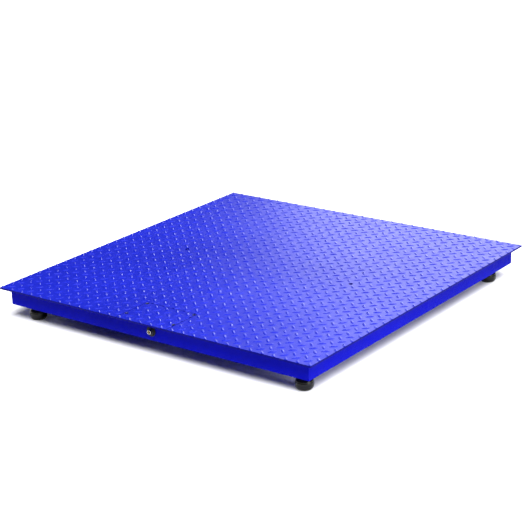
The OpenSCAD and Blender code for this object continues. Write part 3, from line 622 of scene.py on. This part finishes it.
glands()
print("fixings and glands made")

plug = {
    "thread": 0.008, "depth": 0.0006, "pitch": 0.001, "flange": 0.0115, "flangeThick": 0.0025,
    "sleeve": 0.0075, "socket": 0.0064, "socketDeep": 0.009, "floorThick": 0.0035, "backBore": 0.0054,
    "wire": 0.003, "lip": 0.0042, "lipStep": 0.0009, "seal": 0.017, "sealThick": 0.0025, "sealEdge": 0.0006,
}


def connectorBody(length):
    # along the axis from the back end at 0: thread, flange, thread, then back inside down socket and bore
    r, depth = plug["thread"], plug["depth"]
    front = length - plug["sleeve"]
    flangeLow = front - plug["flangeThick"]
    lipLow = length - plug["lip"]
    floorTop = length - plug["socketDeep"]
    floorLow = floorTop - plug["floorThick"]
    wide = plug["flange"]
    flange = [(r, flangeLow), (wide - 0.0004, flangeLow), (wide, flangeLow + 0.0005),
              (wide, front - 0.0006), (wide - 0.0006, front), (r - 0.0002, front)]
    backThread = threadRows(r, 0.0006, flangeLow - 0.0004, depth, plug["pitch"])
    frontThread = threadRows(r, front + 0.0002, lipLow - 0.0002, depth, plug["pitch"])
    bore = [(plug["socket"], lipLow), (plug["socket"], floorTop), (plug["wire"], floorTop),
            (plug["wire"], floorLow), (plug["backBore"], floorLow), (plug["backBore"], 0)]
    rows = [(r - depth, 0)] + backThread + flange + frontThread + [(r - plug["lipStep"], lipLow)] + bore
    return turned(rows, 48, plug["pitch"], loop=True)


def connectorLip(length):
    # a plain ring at the mouth, rounded at its outer and inner edges
    inner, outer, low = plug["socket"], plug["thread"] - plug["lipStep"], length - plug["lip"]
    rows = [(inner, low), (outer, low), (outer, length - 0.0004), (outer - 0.0003, length),
            (inner + 0.0003, length), (inner, length - 0.0003)]
    return turned(rows, 48, loop=True)


def connectorSeal():
    # a flat ring round the barrel, with its outer edges rounded
    bore, wide, thick, edge = plug["thread"] + 0.0001, plug["seal"], plug["sealThick"], plug["sealEdge"]
    rows = [(bore, 0), (wide - edge, 0), (wide, edge),
            (wide, thick - edge), (wide - edge, thick), (bore, thick)]
    return turned(rows, 48, loop=True)


def connector():
    # the body and its lip are as long as the shell's box along y, and the seal lies against the apron
    shellLow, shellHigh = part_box("connector_shell")
    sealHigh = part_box("connector_gasket")[1]
    x, z = (shellLow.x + shellHigh.x) / 2, (shellLow.z + shellHigh.z) / 2
    length = shellHigh.y - shellLow.y
    outward = (0, -1, 0)
    body = standing(connectorBody(length), (x, shellHigh.y, z), outward)
    lip = standing(connectorLip(length), (x, shellHigh.y, z), outward)
    seal = standing(connectorSeal(), (x, sealHigh.y, z), outward)
    standIn(meshPiece("connectorBody", *body, blackZinc, "nickel"), "connector_shell", "platform")
    standIn(meshPiece("connectorLip", *lip, nickel, "nickel"), "connector_shell", "platform")
    standIn(meshPiece("connectorSeal", *seal, sealRubber, "seal_rubber"), "connector_gasket", "platform")


connector()
print("connector made")

tread = {
    "pitch": 0.0416,        # from one bar to the next like it, along x or y
    "length": 0.0300,       # end to end
    "width": 0.0104,        # at the middle
    "height": 0.0018,       # above the plate
    "sunk": 0.0003,         # below the plate at the outline
    "along": 9,             # grid points along a bar
    "across": 7,            # grid points across it
    "keepOff": 0.013,       # from a hole's or a screw's middle to the nearest bar's middle
    "bossRadius": 0.015,    # the tapped boss under each lifting hole
    "seam": 0.001,          # gap round the access cover
    "edge": 0.0002,         # the bars end this far inside the plate's edges
}


def barShape():
    # half width = W (1 - u^2)^0.6, height = H (1 - u^4) (1 - v^2), with u along the bar and v across it
    u, v = np.meshgrid(np.linspace(-1, 1, tread["along"]), np.linspace(-1, 1, tread["across"]), indexing="ij")
    halfWidth = tread["width"] / 2 * (0.02 + 0.98 * (1 - u ** 2) ** 0.6)
    rise = (1 - u ** 4) * (1 - v ** 2)
    z = -tread["sunk"] + (tread["height"] + tread["sunk"]) * rise
    return np.stack([u * tread["length"] / 2, v * halfWidth, z], -1).reshape(-1, 3)


def barCentres():
    # two square lattices half a pitch apart; the bars of one lean left and those of the other lean right
    count = int(deckHigh.x / tread["pitch"]) + 2
    steps = np.arange(-count, count + 1) * tread["pitch"]
    x, y = np.meshgrid(steps, steps, indexing="ij")
    first = np.stack([x.ravel(), y.ravel(), np.full(x.size, math.pi / 4)], -1)
    second = first + np.array([tread["pitch"] / 2, tread["pitch"] / 2, -math.pi / 2])
    return np.concatenate([first, second])


def clearOf(centres, spots):
    # true where a bar's middle is further than the keep-off distance from every spot
    gaps = np.linalg.norm(centres[:, None, :2] - np.array(spots)[None], axis=2)
    return (gaps > tread["keepOff"]).all(1)


def placeBars(centres):
    # every bar is the one shape, turned and moved to its own centre
    shape = barShape()
    c, s = np.cos(centres[:, 2])[:, None], np.sin(centres[:, 2])[:, None]
    x = shape[None, :, 0] * c - shape[None, :, 1] * s + centres[:, 0:1]
    y = shape[None, :, 0] * s + shape[None, :, 1] * c + centres[:, 1:2]
    z = np.broadcast_to(shape[None, :, 2] + deckTop, x.shape)
    return np.stack([x, y, z], -1)


def trimToDeck(bars, centres):
    # points past the deck's outline move back to it; points in the cover's cut-out move to the side of it
    # that their bar's middle is on
    edge, seam = tread["edge"], tread["seam"]
    bars[..., :2] = np.clip(bars[..., :2], -deckHigh.x + edge, deckHigh.x - edge)
    left, right, back = coverLow.x - seam, coverHigh.x + seam, coverHigh.y + seam
    x, y, middleX = bars[..., 0], bars[..., 1], centres[:, None, 0]
    inside = (x > left) & (x < right) & (y < back)
    leftOf = inside & (middleX < coverLow.x)
    rightOf = inside & (middleX > coverHigh.x)
    behind = inside & ~leftOf & ~rightOf
    bars[..., 0] = np.where(leftOf, left - edge, np.where(rightOf, right + edge, x))
    bars[..., 1] = np.where(behind, back + edge, y)
    return bars


def trimToCover(bars):
    # points past the cover's outline move back to it
    edge = tread["edge"]
    low, high = np.array(coverLow[:2]) + edge, np.array(coverHigh[:2]) - edge
    bars[..., :2] = np.clip(bars[..., :2], low, high)
    return bars


def treadPiece(name, bars, body):
    # all the bars of one plate in one mesh
    faces = gridFaces(tread["along"], tread["across"])
    starts = np.arange(len(bars)) * tread["along"] * tread["across"]
    allFaces = (faces[None] + starts[:, None, None]).reshape(-1, 4)[:, ::-1]
    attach(meshPiece(name, bars.reshape(-1, 3), [allFaces], deckPaint, "deck_paint"), body)


def layTread():
    # bars whose middle is on the cover ride it, and the others ride the deck
    centres = barCentres()
    onDeck = (np.abs(centres[:, :2]) < deckHigh.x).all(1)
    liftingHoles = [(bossLow.x + tread["bossRadius"], 0), (bossHigh.x - tread["bossRadius"], 0)]
    centres = centres[onDeck & clearOf(centres, screwSpots() + liftingHoles)]
    x, y = centres[:, 0], centres[:, 1]
    onCover = (x > coverLow.x) & (x < coverHigh.x) & (y < coverHigh.y)
    treadPiece("deckTread", trimToDeck(placeBars(centres[~onCover]), centres[~onCover]), "platform")
    treadPiece("coverTread", trimToCover(placeBars(centres[onCover])), "cover")
    print("tread bars:", (~onCover).sum(), "on the deck,", onCover.sum(), "on the cover")


layTread()

studio = {
    "floorColour": (0.90, 0.90, 0.91, 1), "floorReach": 400,
    "floorCloud": 1.5, "floorDull": 0.98, "floorRough": 0.8, "floorShine": 0.1,
    "worldColour": (1.0, 1.0, 1.0, 1), "worldStrength": 0.06,
    "sky": {"towards": (0.50, -0.40, 1.0), "spread": 46, "strength": 9.0},   # from over the near corner
    "back": {"at": (-1.70, 4.6, 1.60), "size": (2.8, 1.4), "power": 68},     # gives the sheen on the deck
    "side": {"at": (4.2, -0.6, 1.0), "size": (2.0, 1.4), "power": 130},      # brightens the right side
}


def softBox(name, at, size, power):
    # a rectangular light that faces the origin and isn't seen itself
    light = bpy.data.lights.new(name, "AREA")
    light.shape = "RECTANGLE"
    light.size, light.size_y = size
    light.energy = power
    lamp = bpy.data.objects.new(name, light)
    bpy.context.scene.collection.objects.link(lamp)
    lamp.location = at
    lamp.rotation_euler = (-Vector(at)).to_track_quat("-Z", "Y").to_euler()
    lamp.visible_camera = False


def skyLight(towards, spread, strength):
    # an even light from above; spread is the angle it fills, so shadows stay soft and short
    light = bpy.data.lights.new("skyLight", "SUN")
    light.energy = strength
    light.angle = math.radians(spread)
    lamp = bpy.data.objects.new("skyLight", light)
    bpy.context.scene.collection.objects.link(lamp)
    lamp.rotation_euler = Vector(towards).to_track_quat("Z", "Y").to_euler()


def layFloor():
    # one large pale square at height 0, with a faint cloudiness
    material, tree, shader = newMaterial("studioFloor")
    cloud = noiseAt(tree, objectCoordinates(tree), studio["floorCloud"], 2)
    duller = scaled(studio["floorColour"], studio["floorDull"])
    tree.links.new(mixColour(tree, cloud, studio["floorColour"], duller), shader.inputs["Base Color"])
    shader.inputs["Roughness"].default_value = studio["floorRough"]
    shader.inputs["Specular IOR Level"].default_value = studio["floorShine"]
    mesh = bpy.data.meshes.new("floor")
    reach = studio["floorReach"]
    mesh.from_pydata([(-reach, -reach, 0), (reach, -reach, 0), (reach, reach, 0), (-reach, reach, 0)],
                     [], [(0, 1, 2, 3)])
    mesh.materials.append(material)
    floor = bpy.data.objects.new("floor", mesh)
    bpy.context.scene.collection.objects.link(floor)


def lightWorld():
    # a faint even light from all round
    world = bpy.data.worlds.new("studioWorld")
    world.use_nodes = True
    background = world.node_tree.nodes["Background"]
    background.inputs[0].default_value = studio["worldColour"]
    background.inputs[1].default_value = studio["worldStrength"]
    bpy.context.scene.world = world
    bpy.context.scene.view_settings.view_transform = "Standard"


layFloor()
skyLight(**studio["sky"])
softBox("backLight", **studio["back"])
softBox("sideLight", **studio["side"])
lightWorld()

view = {
    "aim": (-0.043, 0.030, deckTop), "azimuth": 37.69, "elevation": 19.06, "roll": -2.20,
    "distance": 5.242, "lens": 109.66, "sensor": 36, "clipEnd": 2000,
}


def aimCamera():
    # the camera stands back from the aim by the distance, azimuth round from -y towards +x, elevation up
    a, e = math.radians(view["azimuth"]), math.radians(view["elevation"])
    back = Vector((math.sin(a) * math.cos(e), -math.cos(a) * math.cos(e), math.sin(e)))
    roll = Matrix.Rotation(math.radians(view["roll"]), 4, "Z")
    turn = back.to_track_quat("Z", "Y").to_matrix().to_4x4() @ roll
    data = bpy.data.cameras.new("camera")
    data.lens = view["lens"]
    data.sensor_width = view["sensor"]
    data.clip_end = view["clipEnd"]
    camera = bpy.data.objects.new("camera", data)
    bpy.context.scene.collection.objects.link(camera)
    camera.matrix_world = Matrix.Translation(Vector(view["aim"]) + back * view["distance"]) @ turn
    bpy.context.scene.camera = camera


aimCamera()
print("studio set")
